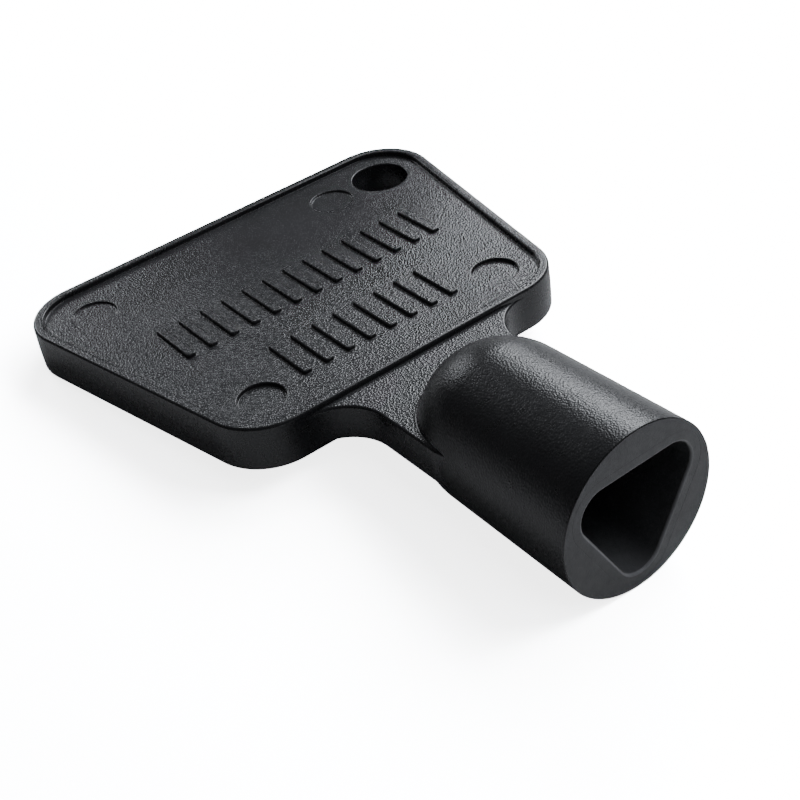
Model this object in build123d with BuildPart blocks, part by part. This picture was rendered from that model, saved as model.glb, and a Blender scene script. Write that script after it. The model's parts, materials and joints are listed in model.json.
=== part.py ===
from build123d import *
import os
from math import atan, cos, degrees

# Meter box key: a flat paddle handle and a round barrel with a triangular blind socket.
# The real key is one black moulding. Each region of it is a solid of its own here, and
# the regions meet face to face.
# Millimetres. The origin is the centre of the socket's mouth, +X leaves the mouth along
# the barrel's axis, +Z is the marked face's side, and the keyring hole is at +Y.

# --- Driving dimensions -------------------------------------------------------------
# Barrel
MOUTH_R = 9.0  # outer radius at the mouth
BARREL_DRAFT = 0.019  # the radius shrinks by this much per mm towards the handle
DOME_X = -17.7  # centre of the round blind end
MOUTH_EDGE_R = 0.12

# Triangular socket, with a flat side up and a corner down
SOCKET_INRADIUS = 4.9  # axis to the middle of a flat side
SOCKET_CORNER_R = 2.55
SOCKET_DEPTH = 20.0
SOCKET_DRAFT_DEG = 0.4
SOCKET_LIP_R = 0.25

# Handle: a trapezoid that widens away from the barrel, with round corners
HANDLE_NEAR_X = -31.05  # edge beside the neck
HANDLE_FAR_X = -71.5
HANDLE_NEAR_HALF_W = 20.4  # half widths of the trapezoid before its corners are rounded
HANDLE_FAR_HALF_W = 28.1
HANDLE_CORNER_R = 6.6
HANDLE_T = 5.2  # rim to rim
RIM_W = 1.2
RIM_OUTER_EDGE_R = 0.3
RIM_INNER_EDGE_R = 0.2
POCKET_DEPTH = 0.6  # the floor lies this far below the rim, level with the neck plate's face

# Keyring hole and the four round recesses that the ejector pins leave in the marked face
KEYRING_X = -64.7
KEYRING_Y = 20.2
KEYRING_R = 3.4
KEYRING_EDGE_R = 0.1
PIN_MARK_R = 2.55
FAR_PIN_MARK_DEPTH = 0.22
FAR_PIN_MARKS = [(-64.85, -19.9), (-64.6, 12.8)]
NEAR_PIN_MARK_DEPTH = 0.42
NEAR_PIN_MARKS = [(-37.3, 15.5), (-37.15, -15.4)]

# Neck: a plate in the handle's middle plane, with hollow flanks, that holds the barrel
NECK_T = 4.0
NECK_HALF_W = 8.8
NECK_FLANK_R = 5.3
NECK_END_X = -16.0  # the plate runs out into the barrel's flanks here
NECK_EDGE_R = 0.3

# Two rows of plain raised grip ribs on the marked face
RIB_W = 1.1
RIB_H = 0.4
RIB_PITCH = 2.75
RIB_EDGE_R = 0.2
LONG_ROW_X = (-55.8, -48.8)
LONG_ROW_COUNT = 13
SHORT_ROW_X = (-44.0, -37.0)
SHORT_ROW_COUNT = 8

# --- Sizes that follow ----------------------------------------------------------------
HALF_T = HANDLE_T / 2
FLOOR_Z = HALF_T - POCKET_DEPTH
DRAFT_ANGLE = atan(BARREL_DRAFT)
# The ball that touches the drafted barrel, with its centre on the axis
DOME_R = (MOUTH_R + BARREL_DRAFT * DOME_X) * cos(DRAFT_ANGLE)
HANDLE_OUTLINE = [
    (HANDLE_NEAR_X, -HANDLE_NEAR_HALF_W),
    (HANDLE_NEAR_X, HANDLE_NEAR_HALF_W),
    (HANDLE_FAR_X, HANDLE_FAR_HALF_W),
    (HANDLE_FAR_X, -HANDLE_FAR_HALF_W),
]


def export_node(part, name):
    """Name a finished region and write it as its own STEP file."""
    part.label = name
    export_step(part, f"parts/{name}.step")


os.makedirs("parts", exist_ok=True)

# --- Plan outlines of the handle --------------------------------------------------------
with BuildSketch() as handle_outline:
    with BuildLine():
        Polyline(*HANDLE_OUTLINE, close=True)
    make_face()
    fillet(handle_outline.vertices(), radius=HANDLE_CORNER_R)

with BuildSketch() as floor_outline:
    add(handle_outline.sketch)
    offset(amount=-RIM_W, mode=Mode.REPLACE)

# --- Handle rim: the raised border of both faces, and the handle's side wall --------------
with BuildPart() as handle_rim:
    with BuildSketch():
        add(handle_outline.sketch)
        add(floor_outline.sketch, mode=Mode.SUBTRACT)
    extrude(amount=HALF_T, both=True)
    rim_faces = handle_rim.faces().filter_by(Axis.Z)
    fillet([edge for face in rim_faces for edge in face.outer_wire().edges()], radius=RIM_OUTER_EDGE_R)
    rim_faces = handle_rim.faces().filter_by(Axis.Z)
    fillet([edge for face in rim_faces for edge in face.inner_wires()[0].edges()], radius=RIM_INNER_EDGE_R)
export_node(handle_rim.part, "handle_rim")

# --- Handle web: the sunk floor inside the rim -------------------------------------------
with BuildPart() as handle_web:
    with BuildSketch():
        add(floor_outline.sketch)
    extrude(amount=FLOOR_Z, both=True)
    with Locations((KEYRING_X, KEYRING_Y)):
        Hole(radius=KEYRING_R)
    web_faces = handle_web.faces().filter_by(Axis.Z)
    fillet([edge for face in web_faces for edge in face.inner_wires()[0].edges()], radius=KEYRING_EDGE_R)
    with BuildSketch(Plane.XY.offset(FLOOR_Z)):
        with Locations(*FAR_PIN_MARKS):
            Circle(PIN_MARK_R)
    extrude(amount=-FAR_PIN_MARK_DEPTH, mode=Mode.SUBTRACT)
    with BuildSketch(Plane.XY.offset(FLOOR_Z)):
        with Locations(*NEAR_PIN_MARKS):
            Circle(PIN_MARK_R)
    extrude(amount=-NEAR_PIN_MARK_DEPTH, mode=Mode.SUBTRACT)
export_node(handle_web.part, "handle_web")

# --- Socket barrel: a drafted round bar with a ball end and a triangular blind socket ------
with BuildPart() as barrel_body:
    with BuildSketch(Plane.XZ):
        with BuildLine():
            dome_arc = CenterArc((DOME_X, 0), DOME_R, 90 + degrees(DRAFT_ANGLE), 90 - degrees(DRAFT_ANGLE))
            Line(dome_arc @ 0, (0, MOUTH_R))
            Line((0, MOUTH_R), (0, 0))
            Line((0, 0), dome_arc @ 1)
        make_face()
    revolve(axis=Axis.X)

with BuildPart() as socket_barrel:
    add(barrel_body.part)
    fillet(socket_barrel.faces().sort_by(Axis.X)[-1].edges(), radius=MOUTH_EDGE_R)
    with BuildSketch(Plane.YZ):
        mouth_triangle = RegularPolygon(SOCKET_INRADIUS, 3, major_radius=False, rotation=-90)
        fillet(mouth_triangle.vertices(), radius=SOCKET_CORNER_R)
    extrude(amount=-SOCKET_DEPTH, taper=SOCKET_DRAFT_DEG, mode=Mode.SUBTRACT)
    fillet(socket_barrel.faces().sort_by(Axis.X)[-1].inner_wires()[0].edges(), radius=SOCKET_LIP_R)
export_node(socket_barrel.part, "socket_barrel")

# --- Neck plate: from the rim's near side to the barrel's ball end -------------------------
with BuildPart() as neck_plate:
    with BuildSketch():
        with BuildLine():
            flank_start = (HANDLE_NEAR_X, NECK_HALF_W + NECK_FLANK_R)
            flank_end = (HANDLE_NEAR_X + NECK_FLANK_R, NECK_HALF_W)
            Line((HANDLE_NEAR_X, 0), flank_start)
            RadiusArc(flank_start, flank_end, -NECK_FLANK_R)
            Line(flank_end, (NECK_END_X, NECK_HALF_W))
            Line((NECK_END_X, NECK_HALF_W), (NECK_END_X, 0))
            mirror(about=Plane.XZ)
        make_face()
    extrude(amount=NECK_T / 2, both=True)
    plate_faces = neck_plate.faces().filter_by(Axis.Z)
    fillet(plate_faces.edges().filter_by(Axis.Y, reverse=True), radius=NECK_EDGE_R)
    add(barrel_body.part, mode=Mode.SUBTRACT)
export_node(neck_plate.part, "neck_plate")


# --- Grip ribs: two rows of plain raised bars on the marked face ----------------------------
def rib_row(row_x, count):
    """Make one row of rounded bars that stand on the floor of the handle."""
    with BuildPart() as row:
        with BuildSketch(Plane.XY.offset(FLOOR_Z)):
            with Locations(((row_x[0] + row_x[1]) / 2, 0)):
                with GridLocations(0, RIB_PITCH, 1, count):
                    Rectangle(row_x[1] - row_x[0], RIB_W)
        extrude(amount=RIB_H)
        fillet(row.faces().group_by(Axis.Z)[-1].edges(), radius=RIB_EDGE_R)
    return row.part


export_node(rib_row(LONG_ROW_X, LONG_ROW_COUNT), "grip_ribs_long")
export_node(rib_row(SHORT_ROW_X, SHORT_ROW_COUNT), "grip_ribs_short")
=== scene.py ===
"""Visual model of the meter box key: one black moulding, shown region by region.

Lengths are millimetres in this script, and every mesh is scaled to metres when it is made.
"""

import json
from math import atan, atan2, cos, degrees, radians, sin, sqrt

import bmesh
import bpy
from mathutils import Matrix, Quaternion, Vector
from mathutils.geometry import delaunay_2d_cdt


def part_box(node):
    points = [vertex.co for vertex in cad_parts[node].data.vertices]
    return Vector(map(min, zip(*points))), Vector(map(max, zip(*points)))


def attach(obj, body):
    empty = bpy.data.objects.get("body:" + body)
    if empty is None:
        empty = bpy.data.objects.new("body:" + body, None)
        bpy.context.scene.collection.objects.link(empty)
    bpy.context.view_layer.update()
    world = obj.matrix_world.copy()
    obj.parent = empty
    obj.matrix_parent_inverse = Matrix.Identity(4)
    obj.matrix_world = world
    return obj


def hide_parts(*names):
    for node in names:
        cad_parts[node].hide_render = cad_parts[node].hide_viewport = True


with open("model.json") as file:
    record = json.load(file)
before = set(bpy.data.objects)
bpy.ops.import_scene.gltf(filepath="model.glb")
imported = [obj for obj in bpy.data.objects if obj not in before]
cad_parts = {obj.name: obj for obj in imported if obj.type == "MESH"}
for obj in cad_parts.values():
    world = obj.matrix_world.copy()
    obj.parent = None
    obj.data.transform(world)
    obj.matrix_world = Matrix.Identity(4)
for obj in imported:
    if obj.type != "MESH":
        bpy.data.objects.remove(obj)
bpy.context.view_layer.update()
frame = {"record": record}

MM = 0.001
BODY = "root"


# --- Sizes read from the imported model, in millimetres ------------------------------------
def box_mm(node):
    """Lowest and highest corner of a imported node, in millimetres."""
    low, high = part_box(node)
    return low / MM, high / MM


def mount(name):
    """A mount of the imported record."""
    return next(m for m in frame["record"]["mounts"] if m["name"] == name)


rim_low, rim_high = box_mm("handle_rim")
web_low, web_high = box_mm("handle_web")
barrel_low, barrel_high = box_mm("socket_barrel")
neck_high = box_mm("neck_plate")[1]
long_low, long_high = box_mm("grip_ribs_long")
short_low, short_high = box_mm("grip_ribs_short")
keyring_hole = mount("keyring_hole")

MOUTH_R = barrel_high.z
NEAR_X = rim_high.x
FAR_X = rim_low.x
RIM_Z = rim_high.z
FLOOR_Z = web_high.z
RIM_W = web_low.x - rim_low.x
NECK_Z = neck_high.z
RIB_TOP_Z = long_high.z
KEYRING = (keyring_hole["pos_m"][0] / MM, keyring_hole["pos_m"][1] / MM)
KEYRING_R = keyring_hole["dims"]["r_mm"]

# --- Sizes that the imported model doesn't give ------------------------------------------------
# Barrel and socket
BARREL_DRAFT = 0.019  # the radius shrinks by this much per mm towards the handle
MOUTH_EDGE_R = 0.12
SOCKET_INRADIUS = 4.9
SOCKET_CORNER_R = 2.55
SOCKET_DEPTH = 20.0
SOCKET_DRAFT = 0.007  # each flat side leans in by this much per mm of depth
SOCKET_LIP_R = 0.25
SOCKET_FLOOR_R = 0.4
INSERT_LINE_OFFSET = 1.15  # the socket's core leaves a faint line this far outside its mouth
INSERT_LINE_W = 0.07
INSERT_LINE_DEPTH = 0.03

# Handle
NEAR_HALF_W = 20.4
FAR_HALF_W = 28.1
CORNER_R = 6.6
RIM_OUTER_R = 0.3
RIM_INNER_R = 0.2
RIM_FOOT_R = 0.12
WALL_DRAFT = 0.04  # each side wall leans in by this much from the parting line to its edge
PARTING_BAND = 0.04  # half the height of the upright band along the parting line
KEYRING_EDGE_R = 0.16
PIN_MARK_R = 2.55
PIN_MARKS = [  # the place and depth of each ejector pin's recess
    ((-64.85, -19.9), 0.22),
    ((-64.6, 12.8), 0.22),
    ((-37.3, 15.5), 0.42),
    ((-37.15, -15.4), 0.42),
]
PIN_EDGE_R = 0.14
PIN_FOOT_R = 0.12

# Neck
NECK_HALF_W = 8.8
NECK_FLANK_R = 5.3
NECK_EDGE_R = 0.3
FIN_END_X = -15.6  # the neck's edges have sunk into the barrel here
FIN_SINK = 0.42
FIN_SINK_CURVE = 0.7  # below 1, the edges sink faster at first
DOME_FILLET_R = 0.5

# Ribs
LONG_COUNT = 13
SHORT_COUNT = 8
RIB_W = 1.1
RIB_EDGE_R = 0.2
RIB_CORNER_R = 0.35
RIB_FOOT_R = 0.1

# Wear round the keyring hole
RUBBED_REACH = (10.0, 32.0)  # radii where the wear is full, and where it ends
WORN_GRAIN = 0.5  # share of the grain's height that full wear leaves

# Mesh fineness
FILL_SPACING = 1.6
NECK_SPACING = 1.2
RIB_SPACING = 0.5
ROW_HEIGHT = 0.87  # of a staggered grid, as a share of its spacing
EDGE_CLEARANCE = 0.6  # of a grid's points from an outline, as a share of the spacing
SMOOTH_ANGLE = 38  # edges that turn by more degrees are sharp
MOUTH_EDGE_STEPS = 6
SOCKET_LIP_STEPS = 6

# --- Sizes that follow -----------------------------------------------------------------------
DRAFT_ANGLE = atan(BARREL_DRAFT)
# The ball that touches the drafted barrel and ends at the barrel's far end
DOME_X = (barrel_low.x + MOUTH_R * cos(DRAFT_ANGLE)) / (1 - BARREL_DRAFT * cos(DRAFT_ANGLE))
DOME_R = DOME_X - barrel_low.x
SIDE_SLOPE = (FAR_HALF_W - NEAR_HALF_W) / (NEAR_X - FAR_X)
SIDE_ANGLE = atan2(1, SIDE_SLOPE)  # direction of the +Y side wall's normal


# --- Mesh building ---------------------------------------------------------------------------
class Shell:
    """A mesh that is put together from loops of points, in millimetres."""

    def __init__(self):
        self.points = []
        self.faces = []
        self.zones = []
        self.flat = []

    def loop(self, points):
        """Add points and return their indices."""
        first = len(self.points)
        self.points.extend(tuple(p) for p in points)
        return list(range(first, len(self.points)))

    def face(self, ids, zone, flat=False):
        """Add one face, leaving out corners that repeat."""
        kept = [a for a, b in zip(ids, ids[1:] + ids[:1]) if a != b]
        if len(kept) > 2:
            self.faces.append(kept)
            self.zones.append(zone)
            self.flat.append(flat)

    def bridge(self, first, second, zone, closed=True, flat=False):
        """Join two loops of the same length with quads."""
        count = len(first)
        for i in range(count if closed else count - 1):
            j = (i + 1) % count
            self.face([first[i], first[j], second[j], second[i]], zone, flat)

    def skin(self, loops, zones, closed=True):
        """Bridge each loop to the next."""
        for first, second, zone in zip(loops, loops[1:], zones):
            self.bridge(first, second, zone, closed)

    def fill(self, outer, holes, zone, spacing=FILL_SPACING):
        """Fill a flat region, square to Z, with triangles of an even size."""
        z = self.points[outer[0]][2]
        rings = [outer] + holes
        ids = [i for ring in rings for i in ring]
        flat = [Vector(self.points[i][:2]) for i in ids]
        edges = []
        start = 0
        for ring in rings:
            count = len(ring)
            edges += [(start + k, start + (k + 1) % count) for k in range(count)]
            start += count
        ring_points = [[Vector(self.points[i][:2]) for i in ring] for ring in rings]
        inner = inner_points(ring_points, spacing)
        made = delaunay_2d_cdt(flat + inner, edges, [], 0, 1e-6)
        found = {}
        for new, sources in enumerate(made[3]):
            if sources and sources[0] < len(ids):
                found[new] = ids[sources[0]]
            else:
                found[new] = self.loop([(made[0][new].x, made[0][new].y, z)])[0]
        for triangle in made[2]:
            centre = sum((made[0][k] for k in triangle), Vector((0, 0))) / 3
            if is_inside(centre, ring_points):
                self.face([found[k] for k in triangle], zone, flat=True)

    def piece(self, name, nodes, materials):
        """Make the finished object, which stands for the named CAD nodes."""
        mesh = bpy.data.meshes.new(name)
        mesh.from_pydata([[c * MM for c in p] for p in self.points], [], self.faces)
        for polygon, zone in zip(mesh.polygons, self.zones):
            polygon.material_index = list(materials).index(zone)
        for material in materials.values():
            mesh.materials.append(material)
        shape = bmesh.new()
        shape.from_mesh(mesh)
        bmesh.ops.recalc_face_normals(shape, faces=shape.faces)
        shape.to_mesh(mesh)
        shape.free()
        mesh.shade_smooth()
        mesh.set_sharp_from_angle(angle=radians(SMOOTH_ANGLE))
        self.keep_flats_flat(mesh)
        obj = bpy.data.objects.new(name, mesh)
        bpy.context.scene.collection.objects.link(obj)
        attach(obj, BODY)
        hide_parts(*nodes)
        return obj

    def keep_flats_flat(self, mesh):
        """Give every corner round a flat face the flat's own normal, so that it shades flat."""
        flat_normal = {}
        for polygon, flat in zip(mesh.polygons, self.flat):
            if flat:
                for vertex in polygon.vertices:
                    flat_normal[vertex] = polygon.normal.copy()
        normals = [Vector(corner.vector) for corner in mesh.corner_normals]
        for polygon in mesh.polygons:
            for corner in polygon.loop_indices:
                normal = flat_normal.get(mesh.loops[corner].vertex_index)
                if normal and polygon.normal.dot(normal) > cos(radians(SMOOTH_ANGLE)):
                    normals[corner] = normal
        mesh.normals_split_custom_set(normals)


def is_inside(point, rings):
    """True if a flat point is inside the first ring and outside the others."""
    inside = False
    for ring in rings:
        for a, b in zip(ring, ring[1:] + ring[:1]):
            if (a.y > point.y) != (b.y > point.y):
                cross = a.x + (point.y - a.y) * (b.x - a.x) / (b.y - a.y)
                inside ^= point.x < cross
    return inside


def inner_points(rings, spacing):
    """Points of a staggered grid that lie inside a region and clear of its edges."""
    xs = [p.x for p in rings[0]]
    ys = [p.y for p in rings[0]]
    corners = [p for ring in rings for p in ring]
    found = []
    row = 0
    y = min(ys) + spacing / 2
    while y < max(ys):
        x = min(xs) + spacing * (0.5 if row % 2 else 1.0)
        while x < max(xs):
            point = Vector((x, y))
            nearest = min((point - corner).length for corner in corners)
            if is_inside(point, rings) and nearest > EDGE_CLEARANCE * spacing:
                found.append(point)
            x += spacing
        y += spacing * ROW_HEIGHT
        row += 1
    return found


def arc(centre, radius, start, stop, count):
    """Points of an arc, both ends included, from start to stop in degrees."""
    turn = [radians(start + (stop - start) * k / count) for k in range(count + 1)]
    return [(centre[0] + radius * cos(a), centre[1] + radius * sin(a)) for a in turn]


def circle(centre, radius, z, count=72):
    """Points of a full circle at height z."""
    return [(x, y, z) for x, y in arc(centre, radius, 0, 360, count)[:-1]]


# --- Materials -------------------------------------------------------------------------------
PATCH_MM = 6.0  # size of the patches of slightly different colour
DARK_PATCH = 0.82  # their shades, as shares of the plastic's own
LIGHT_PATCH = 1.22
GLOSS_MM = 1.1  # size of the patches of uneven gloss
RIPPLE_MM = 7.0  # length of the moulding's faint waves


class Nodes:
    """Short ways to add nodes to one material."""

    def __init__(self, name):
        self.material = bpy.data.materials.new(name)
        self.material.use_nodes = True
        self.tree = self.material.node_tree
        self.shader = self.tree.nodes["Principled BSDF"]
        self.place = self.add("ShaderNodeTexCoord").outputs["Object"]

    def add(self, kind, links=None, **values):
        """Add a node, set its properties, and link its inputs."""
        node = self.tree.nodes.new(kind)
        for key, value in values.items():
            setattr(node, key, value)
        for key, source in (links or {}).items():
            if isinstance(source, bpy.types.NodeSocket):
                self.tree.links.new(source, node.inputs[key])
            else:
                node.inputs[key].default_value = source
        return node

    def noise(self, size, detail=2.0, roughness=0.5):
        """Noise whose features are about size millimetres across."""
        links = {"Vector": self.place, "Scale": 1 / (size * MM), "Detail": detail, "Roughness": roughness}
        return self.add("ShaderNodeTexNoise", links).outputs["Fac"]

    def pits(self, size):
        """Cells about size millimetres across, as height."""
        links = {"Vector": self.place, "Scale": 1 / (size * MM), "Randomness": 1.0}
        return self.add("ShaderNodeTexVoronoi", links, feature="F1").outputs["Distance"]

    def worn_low(self, height, centre, reach):
        """Flatten a height field near a place on the key. Reach is (full, no) wear's radius."""
        middle = (centre[0] * MM, centre[1] * MM, FLOOR_Z * MM)
        links = {0: self.place, 1: middle}
        distance = self.add("ShaderNodeVectorMath", links, operation="DISTANCE").outputs["Value"]
        kept = self.spread(distance, WORN_GRAIN, 1.0, reach[0] * MM, reach[1] * MM)
        return self.add("ShaderNodeMath", {0: height, 1: kept}, operation="MULTIPLY").outputs["Value"]

    def spread(self, source, low, high, from_low=0.3, from_high=0.7):
        """Map a noise value to the range low..high."""
        links = {"Value": source, "From Min": from_low, "From Max": from_high, "To Min": low, "To Max": high}
        return self.add("ShaderNodeMapRange", links).outputs["Result"]

    def bump(self, height, depth_mm, normal=None):
        """Bump by a height field, depth_mm deep."""
        links = {"Height": height, "Distance": depth_mm * MM, "Strength": 1.0}
        if normal is not None:
            links["Normal"] = normal
        return self.add("ShaderNodeBump", links).outputs["Normal"]


def black_plastic(
    name, shade, roughness, grain_mm, grain_depth, ripple_depth, mottle=0.02, rubbed=False
):
    """Moulded black plastic: grain, faint ripple, uneven gloss and slightly uneven colour.

    The sizes and depths are in millimetres, mottle is how much the roughness varies, and
    rubbed wears the grain low round the keyring hole.
    """
    nodes = Nodes(name)
    patch = nodes.noise(PATCH_MM, detail=3.0)
    mix = nodes.add("ShaderNodeMix", data_type="RGBA")
    nodes.tree.links.new(nodes.spread(patch, 0.0, 1.0), mix.inputs["Factor"])
    # Sockets 6 and 7 are the two colours of a mix node, and output 2 is the mixed colour
    mix.inputs[6].default_value = tuple(c * DARK_PATCH for c in shade) + (1.0,)
    mix.inputs[7].default_value = tuple(c * LIGHT_PATCH for c in shade) + (1.0,)
    nodes.tree.links.new(mix.outputs[2], nodes.shader.inputs["Base Color"])

    gloss = nodes.noise(GLOSS_MM, detail=3.0, roughness=0.6)
    rough = nodes.spread(gloss, roughness - mottle, roughness + mottle)
    nodes.tree.links.new(rough, nodes.shader.inputs["Roughness"])

    ripple = nodes.noise(RIPPLE_MM, detail=1.0)
    normal = nodes.bump(ripple, ripple_depth)
    grain = nodes.pits(grain_mm)
    if rubbed:
        grain = nodes.worn_low(grain, KEYRING, RUBBED_REACH)
    normal = nodes.bump(grain, grain_depth, normal)
    nodes.tree.links.new(normal, nodes.shader.inputs["Normal"])
    nodes.shader.inputs["IOR"].default_value = 1.5
    return nodes.material


grained = black_plastic(
    "grained_plastic",
    shade=(0.019, 0.0196, 0.0205),
    roughness=0.22,
    grain_mm=0.2,
    grain_depth=0.043,
    ripple_depth=0.04,
    rubbed=True,
)
fine = black_plastic(
    "fine_grained_plastic",
    shade=(0.01, 0.0103, 0.0108),
    roughness=0.29,
    grain_mm=0.2,
    grain_depth=0.028,
    ripple_depth=0.02,
)
smooth = black_plastic(
    "smooth_plastic",
    shade=(0.006, 0.0062, 0.0066),
    roughness=0.27,
    grain_mm=0.3,
    grain_depth=0.008,
    ripple_depth=0.03,
)
matt = black_plastic(
    "matt_plastic",
    shade=(0.032, 0.0325, 0.034),
    roughness=0.45,
    grain_mm=0.16,
    grain_depth=0.012,
    ripple_depth=0.02,
    mottle=0.06,
)
# A lighter colour for the socket's lip: a painted highlight along its rounded edge
painted_lip_highlight = black_plastic(
    "painted_highlight_plastic",
    shade=(0.075, 0.076, 0.079),
    roughness=0.35,
    grain_mm=0.2,
    grain_depth=0.01,
    ripple_depth=0.02,
    mottle=0.05,
)


# --- Handle outline --------------------------------------------------------------------------
def corner_centre(x):
    """Distance from the X axis to the centre of the corner arc whose centre is at x."""
    half_width = NEAR_HALF_W + SIDE_SLOPE * (NEAR_X - x)
    return half_width - CORNER_R * sqrt(1 + SIDE_SLOPE**2)


def handle_loop(inset, z, arc_steps=18, side_steps=20):
    """The rounded trapezoid, moved inward by inset, as a loop of points at height z."""
    near_x = NEAR_X - CORNER_R
    far_x = FAR_X + CORNER_R
    near_y = corner_centre(near_x)
    far_y = corner_centre(far_x)
    side = degrees(SIDE_ANGLE)
    corners = [
        ((near_x, near_y), 0, side),
        ((far_x, far_y), side, 180),
        ((far_x, -far_y), 180, 360 - side),
        ((near_x, -near_y), 360 - side, 360),
    ]
    arcs = [arc(centre, CORNER_R - inset, start, stop, arc_steps) for centre, start, stop in corners]
    points = []
    for this, following in zip(arcs, arcs[1:] + arcs[:1]):
        points += this
        (x0, y0), (x1, y1) = this[-1], following[0]
        for k in range(1, side_steps):
            share = k / side_steps
            points.append((x0 + (x1 - x0) * share, y0 + (y1 - y0) * share))
    return [(x, y, z) for x, y in points]


# --- Rim: raised border of both faces, with the side wall --------------------------------------
def rim_profile():
    """Half of the rim's section as (inset, z): the outside up to the top, then the inside."""
    outer_centre = (WALL_DRAFT + RIM_OUTER_R, RIM_Z - RIM_OUTER_R)
    inner_centre = (RIM_W - RIM_INNER_R, RIM_Z - RIM_INNER_R)
    foot_centre = (RIM_W + RIM_FOOT_R, FLOOR_Z + RIM_FOOT_R)
    outside = [(0.0, PARTING_BAND)] + arc(outer_centre, RIM_OUTER_R, 180, 90, count=7)
    inside = arc(inner_centre, RIM_INNER_R, 90, 0, count=5)
    inside += arc(foot_centre, RIM_FOOT_R, 180, 270, count=5)
    return outside, inside


rim = Shell()
rim_outside, rim_inside = rim_profile()
half = rim_outside + rim_inside
rim_loops = [rim.loop(handle_loop(inset, z)) for inset, z in half]
rim_loops += [rim.loop(handle_loop(inset, -z)) for inset, z in reversed(half)]
# The zone of the stretch that follows each point of the half: only the top is grained
half_zones = ["smooth"] * (len(rim_outside) - 1) + ["grained"] + ["smooth"] * len(rim_inside)
rim.skin(rim_loops + rim_loops[:1], half_zones + half_zones[-2::-1] + ["smooth"])
rim.piece("rim", ["handle_rim"], {"smooth": smooth, "grained": grained})
FLOOR_INSET = RIM_W + RIM_FOOT_R


# --- Handle floor, with the keyring hole and the ejector pin marks -----------------------------
def keyring_wall(shell):
    """The hole's wall and rounded edges. Returns its top and bottom loop."""
    centre = (KEYRING_R + KEYRING_EDGE_R, FLOOR_Z - KEYRING_EDGE_R)
    edge = arc(centre, KEYRING_EDGE_R, 90, 180, count=7)
    section = edge + [(r, -z) for r, z in reversed(edge)]
    loops = [shell.loop(circle(KEYRING, r, z)) for r, z in section]
    shell.skin(loops, ["smooth"] * len(loops))
    return loops[0], loops[-1]


def pin_mark(shell, centre, depth):
    """One round recess with a soft edge and foot. Returns its top loop."""
    edge_centre = (PIN_MARK_R + PIN_EDGE_R, FLOOR_Z - PIN_EDGE_R)
    foot_centre = (PIN_MARK_R - PIN_FOOT_R, FLOOR_Z - depth + PIN_FOOT_R)
    edge = arc(edge_centre, PIN_EDGE_R, 90, 180, count=3)
    foot = arc(foot_centre, PIN_FOOT_R, 0, -90, count=4)
    loops = [shell.loop(circle(centre, r, z)) for r, z in edge + foot]
    shell.skin(loops, ["smooth"] * len(loops))
    shell.fill(loops[-1], [], "grained")
    return loops[0]


floor_shell = Shell()
floor_top = floor_shell.loop(handle_loop(FLOOR_INSET, FLOOR_Z))
floor_bottom = floor_shell.loop(handle_loop(FLOOR_INSET, -FLOOR_Z))
floor_shell.bridge(floor_top, floor_bottom, "smooth")
hole_top, hole_bottom = keyring_wall(floor_shell)
mark_tops = [pin_mark(floor_shell, centre, depth) for centre, depth in PIN_MARKS]
floor_shell.fill(floor_top, [hole_top] + mark_tops, "grained")
floor_shell.fill(floor_bottom, [hole_bottom], "grained")
floor_shell.piece("handle_floor", ["handle_web"], {"grained": grained, "smooth": smooth})


# --- Barrel: round end, drafted bar, mouth face and triangular socket ----------------------------
SIDE_STEPS = 24  # of each flat side of the socket
CORNER_STEPS = 20
BARREL_STEPS = 12
WALL_STEPS = 6
POLE_GAP_DEG = 1  # the round end's first circle is this far from its pole


def triangle_loop(offset, x):
    """The socket's rounded triangle, a corner down, moved outward by offset, at depth x."""
    reach = 2 * (SOCKET_INRADIUS - SOCKET_CORNER_R)
    radius = SOCKET_CORNER_R + offset
    arcs = []
    for corner in (-90, 30, 150):
        centre = (reach * cos(radians(corner)), reach * sin(radians(corner)))
        arcs.append(arc(centre, radius, corner - 60, corner + 60, CORNER_STEPS))
    points = []
    for this, following in zip(arcs, arcs[1:] + arcs[:1]):
        points += this
        (y0, z0), (y1, z1) = this[-1], following[0]
        for k in range(1, SIDE_STEPS):
            share = k / SIDE_STEPS
            points.append((y0 + (y1 - y0) * share, z0 + (z1 - z0) * share))
    return [(x, y, z) for y, z in points]


# Every circle of the barrel has a point for each point of the socket
BARREL_TURNS = [atan2(z, y) for _, y, z in triangle_loop(0, 0)]


def barrel_loop(radius, x):
    """A circle round the barrel's axis whose points match the socket's."""
    return [(x, radius * cos(a), radius * sin(a)) for a in BARREL_TURNS]


def barrel_profile():
    """The barrel's outside from the round end's pole to the mouth face, as (x, radius)."""
    section = arc((DOME_X, 0), DOME_R, 180 - POLE_GAP_DEG, 90 + degrees(DRAFT_ANGLE), count=44)
    start_x, start_r = section[-1]
    edge_x = -MOUTH_EDGE_R
    edge_r = MOUTH_R + BARREL_DRAFT * edge_x
    for k in range(1, BARREL_STEPS):
        share = k / BARREL_STEPS
        section.append((start_x + (edge_x - start_x) * share, start_r + (edge_r - start_r) * share))
    section += arc((edge_x, edge_r - MOUTH_EDGE_R), MOUTH_EDGE_R, 90, 0, MOUTH_EDGE_STEPS)
    return section


barrel = Shell()
outside = [barrel.loop(barrel_loop(r, x)) for x, r in barrel_profile()]
fine_count = len(outside) - 1 - MOUTH_EDGE_STEPS
barrel.skin(outside, ["fine"] * fine_count + ["smooth"] * MOUTH_EDGE_STEPS)
pole = barrel.loop([(DOME_X - DOME_R, 0, 0)])[0]
barrel.bridge([pole] * len(outside[0]), outside[0], "fine")

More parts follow.
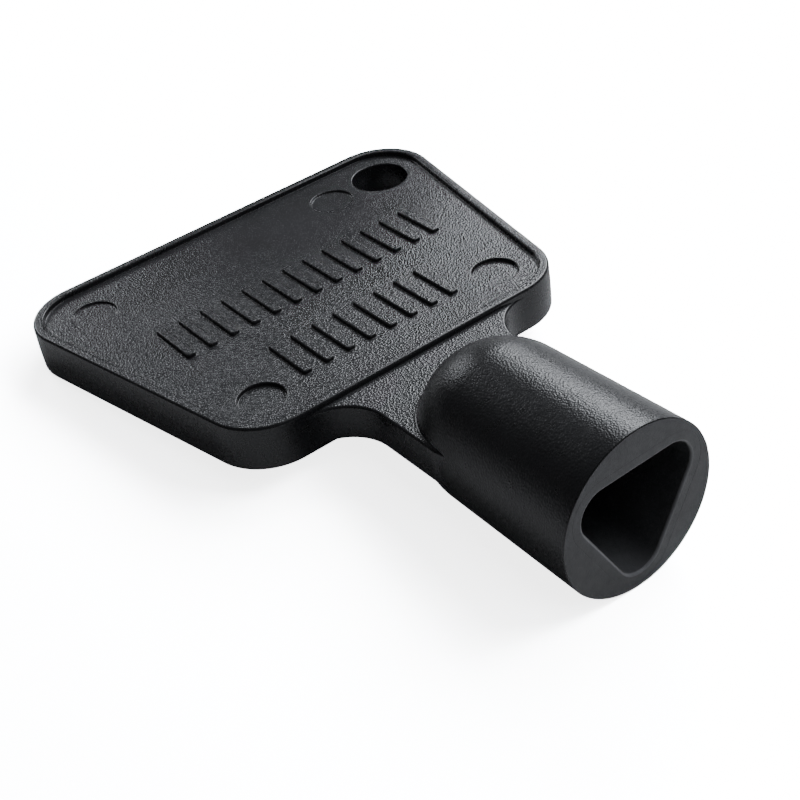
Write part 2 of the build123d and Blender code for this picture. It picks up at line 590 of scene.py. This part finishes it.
# The mouth face, with the insert's faint line in it, and the socket's rounded lip
groove = [
    (INSERT_LINE_OFFSET + INSERT_LINE_W, 0.0),
    (INSERT_LINE_OFFSET, -INSERT_LINE_DEPTH),
    (INSERT_LINE_OFFSET - INSERT_LINE_W, 0.0),
]
groove_loops = [barrel.loop(triangle_loop(o, x)) for o, x in groove]
lip = arc((SOCKET_LIP_R, -SOCKET_LIP_R), SOCKET_LIP_R, 90, 180, SOCKET_LIP_STEPS)
lip_loops = [barrel.loop(triangle_loop(o, x)) for o, x in lip]
barrel.bridge(outside[-1], groove_loops[0], "matt", flat=True)
barrel.skin(groove_loops, ["matt"] * (len(groove) - 1))
barrel.bridge(groove_loops[-1], lip_loops[0], "matt", flat=True)
# The rounded lip takes the lighter material, a painted highlight along the socket's edge
barrel.skin(lip_loops, ["painted_lip_highlight"] * SOCKET_LIP_STEPS)

# The socket's walls, down to the rounded edge of its flat bottom
wall_end_x = -SOCKET_DEPTH + SOCKET_FLOOR_R
wall_loops = [lip_loops[-1]]
for k in range(1, WALL_STEPS + 1):
    x = -SOCKET_LIP_R + (wall_end_x + SOCKET_LIP_R) * k / WALL_STEPS
    wall_loops.append(barrel.loop(triangle_loop(x * SOCKET_DRAFT, x)))
floor_edge_centre = (wall_end_x * SOCKET_DRAFT - SOCKET_FLOOR_R, wall_end_x)
for o, x in arc(floor_edge_centre, SOCKET_FLOOR_R, 0, -90, count=4)[1:]:
    wall_loops.append(barrel.loop(triangle_loop(o, x)))
barrel.skin(wall_loops, ["matt"] * (len(wall_loops) - 1))
bottom_centre = barrel.loop([(-SOCKET_DEPTH, 0, 0)])[0]
barrel.bridge(wall_loops[-1], [bottom_centre] * len(wall_loops[-1]), "matt")
barrel.piece("barrel", ["socket_barrel"], {"fine": fine, "smooth": smooth, "matt": matt, "painted_lip_highlight": painted_lip_highlight})


# --- Neck: plate with hollow flanks that blends into the round end -------------------------------
# The fillet at the round end is smallest at the plate's edges, where it just fits on the flat
FILLET_END_R = ((NECK_HALF_W - NECK_EDGE_R) ** 2 - DOME_R**2 + NECK_Z**2) / (2 * (DOME_R - NECK_Z))


FLANK_STEPS = 28
STRAIGHT_STEPS = 10
FIN_STEPS = 14
DOME_STEPS = 96


def flank_stations():
    """The +Y flank as (x, y, inward direction), from the rim to the round end's centre."""
    centre = (NEAR_X + NECK_FLANK_R, NECK_HALF_W + NECK_FLANK_R)
    stations = []
    for x, y in arc(centre, NECK_FLANK_R, 180, 270, FLANK_STEPS):
        inward = ((x - centre[0]) / NECK_FLANK_R, (y - centre[1]) / NECK_FLANK_R)
        stations.append((x, y, inward))
    for k in range(1, STRAIGHT_STEPS + 1):
        x = centre[0] + (DOME_X - centre[0]) * k / STRAIGHT_STEPS
        stations.append((x, NECK_HALF_W, (0, -1)))
    return stations


def fin_stations():
    """The flank beyond the round end's centre, where it sinks into the barrel."""
    stations = []
    for k in range(1, FIN_STEPS + 1):
        share = k / FIN_STEPS
        x = DOME_X + (FIN_END_X - DOME_X) * share
        sink = FIN_SINK * share**FIN_SINK_CURVE
        stations.append((x, NECK_HALF_W - sink, (0, -1)))
    return stations


def edge_profile():
    """The flank's section as (inward offset, z), from the top flat to the bottom flat."""
    top = arc((NECK_EDGE_R, NECK_Z - NECK_EDGE_R), NECK_EDGE_R, 90, 180, count=6)
    top.append((0.0, 0.0))
    return top + [(offset, -z) for offset, z in reversed(top[:-1])]


def dome_fillet(radius, count=6):
    """The fillet's section as (distance from the dome's centre line, z), plate to dome."""
    ball = sqrt((DOME_R + radius) ** 2 - (NECK_Z + radius) ** 2)
    centre = (ball, NECK_Z + radius)
    touch = degrees(atan2(centre[1], centre[0]))
    return arc(centre, radius, 270, 180 + touch, count)


def fillet_columns(side):
    """Columns of fillet points along the sinking edge on one side, from the round end's centre."""
    section = dome_fillet(FILLET_END_R)
    columns = [[(DOME_X, side * r, z) for r, z in section]]
    for x, y, _ in fin_stations():
        sink = NECK_HALF_W - y
        columns.append([(x, side * (r - sink), z) for r, z in section])
    return columns


neck = Shell()
stations = flank_stations() + fin_stations()
flat_count = len(flank_stations())
flank_rows = {}
for side in (1, -1):
    rows = []
    for offset, z in edge_profile():
        points = [(x + offset * n[0], side * (y + offset * n[1]), z) for x, y, n in stations]
        rows.append(neck.loop(points))
    neck.skin(rows, ["smooth"] * len(rows), closed=False)
    flank_rows[side] = rows

# On each face, the fillet round the ball end and the flat between it, the flanks and the rim
fillets = {}
for face_side, row_index in ((1, 0), (-1, -1)):
    dome_columns = []
    for k in range(1, DOME_STEPS):
        turn = radians(-90 + 180 * k / DOME_STEPS)
        radius = FILLET_END_R + (DOME_FILLET_R - FILLET_END_R) * sqrt(cos(turn))
        section = dome_fillet(radius)
        points = [(DOME_X - r * cos(turn), r * sin(turn), face_side * z) for r, z in section]
        dome_columns.append(neck.loop(points))
    fin_columns = {}
    for side in (1, -1):
        edge_ids = flank_rows[side][row_index][flat_count - 1 :]
        made = []
        for edge_id, points in zip(edge_ids, fillet_columns(side)):
            made.append([edge_id] + neck.loop([(x, y, face_side * z) for x, y, z in points[1:]]))
        fin_columns[side] = made
    columns = fin_columns[-1][::-1] + dome_columns + fin_columns[1]
    neck.skin(columns, ["smooth"] * len(columns), closed=False)
    fillets[face_side] = columns
    plus = flank_rows[1][row_index][:flat_count]
    minus = flank_rows[-1][row_index][:flat_count]
    fins = len(fin_columns[1])
    around_dome = [column[0] for column in columns[fins : len(columns) - fins]]
    neck.fill(plus + around_dome[::-1] + minus[::-1], [], "grained", spacing=NECK_SPACING)

# Faces inside the barrel and against the rim close the solid
top_contact = [column[-1] for column in fillets[1]]
bottom_contact = [column[-1] for column in fillets[-1]]
neck.bridge(top_contact, bottom_contact, "smooth", closed=False)
for side, end in ((1, -1), (-1, 0)):
    flank_end = [row[-1] for row in flank_rows[side]]
    neck.face(flank_end + fillets[-1][end][1:] + fillets[1][end][:0:-1], "smooth")
rim_end = [row[0] for row in flank_rows[1]] + [row[0] for row in flank_rows[-1]][::-1]
neck.face(rim_end, "smooth")
neck.piece("neck", ["neck_plate"], {"grained": grained, "smooth": smooth})


# --- Grip ribs -------------------------------------------------------------------------------
def bar_loop(x_range, y, inset, z):
    """A bar's rounded outline, moved inward by inset, at height z."""
    corner = RIB_CORNER_R - inset
    x0, x1 = x_range[0] + RIB_CORNER_R, x_range[1] - RIB_CORNER_R
    half = RIB_W / 2 - RIB_CORNER_R
    centres = [((x1, y + half), 0), ((x0, y + half), 90), ((x0, y - half), 180), ((x1, y - half), 270)]
    points = []
    for centre, start in centres:
        points += arc(centre, corner, start, start + 90, count=7)
    return [(px, py, z) for px, py in points]


def rib(shell, x_range, y):
    """One raised bar with a rounded top and a small fillet at its foot."""
    foot = arc((-RIB_FOOT_R, FLOOR_Z + RIB_FOOT_R), RIB_FOOT_R, 270, 360, count=4)
    edge = arc((RIB_EDGE_R, RIB_TOP_Z - RIB_EDGE_R), RIB_EDGE_R, 180, 90, count=5)
    loops = [shell.loop(bar_loop(x_range, y, inset, z)) for inset, z in foot + edge]
    shell.skin(loops, ["smooth"] * len(loops))
    shell.face(loops[0][::-1], "smooth")
    shell.fill(loops[-1], [], "grained", spacing=RIB_SPACING)


for name, node, low, high, count in (
    ("long_ribs", "grip_ribs_long", long_low, long_high, LONG_COUNT),
    ("short_ribs", "grip_ribs_short", short_low, short_high, SHORT_COUNT),
):
    ribs = Shell()
    pitch = (high.y - low.y - RIB_W) / (count - 1)
    for k in range(count):
        rib(ribs, (low.x, high.x), low.y + RIB_W / 2 + pitch * k)
    ribs.piece(name, [node], {"smooth": smooth, "grained": grained})


# --- Stage, lights and camera ----------------------------------------------------------------
STAGE_HALF_SIZE = 3000
WALL_RADIUS = 2500
DAYLIGHT = (0.955, 0.985, 1.035)
SKY = (0.07, 0.07, 0.075, 1)

CAMERA_LENS = 65.302
CAMERA_AZIMUTH = -31.98
CAMERA_ELEVATION = 36.4
CAMERA_ROLL = -9.384
CAMERA_DISTANCE = 145.03
LOOK_AT = Vector((-28.704, -4.625, 0))


def stage_material(name, shade, glow=0.0):
    """A plain matt grey material for the stage, which may also glow a little."""
    material = bpy.data.materials.new(name)
    material.use_nodes = True
    shader = material.node_tree.nodes["Principled BSDF"]
    shader.inputs["Base Color"].default_value = (shade, shade, shade, 1)
    shader.inputs["Roughness"].default_value = 1.0
    shader.inputs["Specular IOR Level"].default_value = 0.0
    shader.inputs["Emission Color"].default_value = (1, 1, 1, 1)
    shader.inputs["Emission Strength"].default_value = glow
    return material


def stage_piece(name, points, faces, material):
    """A mesh of the stage, from points in millimetres."""
    mesh = bpy.data.meshes.new(name)
    mesh.from_pydata([[c * MM for c in p] for p in points], [], faces)
    mesh.materials.append(material)
    obj = bpy.data.objects.new(name, mesh)
    bpy.context.scene.collection.objects.link(obj)
    return obj


def seen_by_camera_only(obj):
    """Keep a stage piece out of the key's light and reflections."""
    obj.visible_glossy = False
    obj.visible_diffuse = False
    obj.visible_shadow = False


def backdrop_wall(material):
    """A round wall about the key, which hides the floor's far edge from a low viewpoint."""
    points = circle((0, 0), WALL_RADIUS, -WALL_RADIUS) + circle((0, 0), WALL_RADIUS, WALL_RADIUS)
    count = len(points) // 2
    faces = [(k, (k + 1) % count, count + (k + 1) % count, count + k) for k in range(count)]
    return stage_piece("backdrop", points, faces, material)


def floor_plane(name, drop, material):
    """A square that the key rests on: under the barrel's mouth and the handle's far edge."""
    quadrants = ((-1, -1), (1, -1), (1, 1), (-1, 1))
    corners = [(x * STAGE_HALF_SIZE, y * STAGE_HALF_SIZE, 0) for x, y in quadrants]
    obj = stage_piece(name, corners, [(0, 1, 2, 3)], material)
    obj.location = (0, 0, (barrel_low.z - drop) * MM)
    obj.rotation_euler = (0, atan((barrel_low.z - rim_low.z) / FAR_X), 0)
    return obj


def direction(azimuth, elevation):
    """Unit vector, with azimuth in degrees from +X towards +Y."""
    a, e = radians(azimuth), radians(elevation)
    return Vector((cos(a) * cos(e), sin(a) * cos(e), sin(e)))


def soft_box(name, azimuth, elevation, distance, size, power, mirrored=True):
    """A large rectangular light that faces the middle of the key.

    A light that isn't mirrored only lights the key: no reflection of it shows.
    """
    light = bpy.data.lights.new(name, "AREA")
    light.shape = "RECTANGLE"
    light.size = size[0] * MM
    light.size_y = size[1] * MM
    light.energy = power
    light.color = DAYLIGHT
    obj = bpy.data.objects.new(name, light)
    aim = direction(azimuth, elevation)
    middle = Vector((FAR_X / 2, 0, 0))
    obj.location = (middle + aim * distance) * MM
    obj.rotation_euler = aim.to_track_quat("Z", "Y").to_euler()
    obj.visible_glossy = mirrored
    bpy.context.scene.collection.objects.link(obj)


def add_camera():
    """The camera, at the key's usual three-quarter view."""
    camera = bpy.data.cameras.new("camera")
    camera.lens = CAMERA_LENS
    camera.clip_start = 0.005
    obj = bpy.data.objects.new("camera", camera)
    back = direction(CAMERA_AZIMUTH, CAMERA_ELEVATION)
    obj.location = (LOOK_AT + back * CAMERA_DISTANCE) * MM
    obj.rotation_mode = "QUATERNION"
    roll = Quaternion((0, 0, 1), radians(CAMERA_ROLL))
    obj.rotation_quaternion = (-back).to_track_quat("-Z", "Y") @ roll
    bpy.context.scene.collection.objects.link(obj)
    bpy.context.scene.camera = obj


# The bright floor and wall are for the camera alone. A grey card lights the key from below
seen_by_camera_only(floor_plane("floor", 0.02, stage_material("pale_floor", 9.0, glow=3.6)))
seen_by_camera_only(backdrop_wall(stage_material("pale_wall", 0.0, glow=4.4)))
bounce = floor_plane("bounce_card", 0.05, stage_material("bounce_grey", 0.45))
bounce.visible_camera = False

soft_box("window", 126, 35.5, distance=450, size=(190, 170), power=1.06)
soft_box("far_fill", 177, 26, distance=450, size=(130, 100), power=0.27)
soft_box("top_light", 105, 58, distance=450, size=(150, 150), power=0.4)
soft_box("side_light", 80, 42, distance=600, size=(400, 300), power=3.5, mirrored=False)
soft_box("front_light", 10, 45, distance=600, size=(400, 400), power=0.6, mirrored=False)
soft_box("mouth_light", 40, 45, distance=170, size=(60, 60), power=0.13, mirrored=False)

world = bpy.data.worlds.new("studio")
world.use_nodes = True
world.node_tree.nodes["Background"].inputs["Color"].default_value = SKY
bpy.context.scene.world = world

add_camera()
bpy.context.view_layer.update()
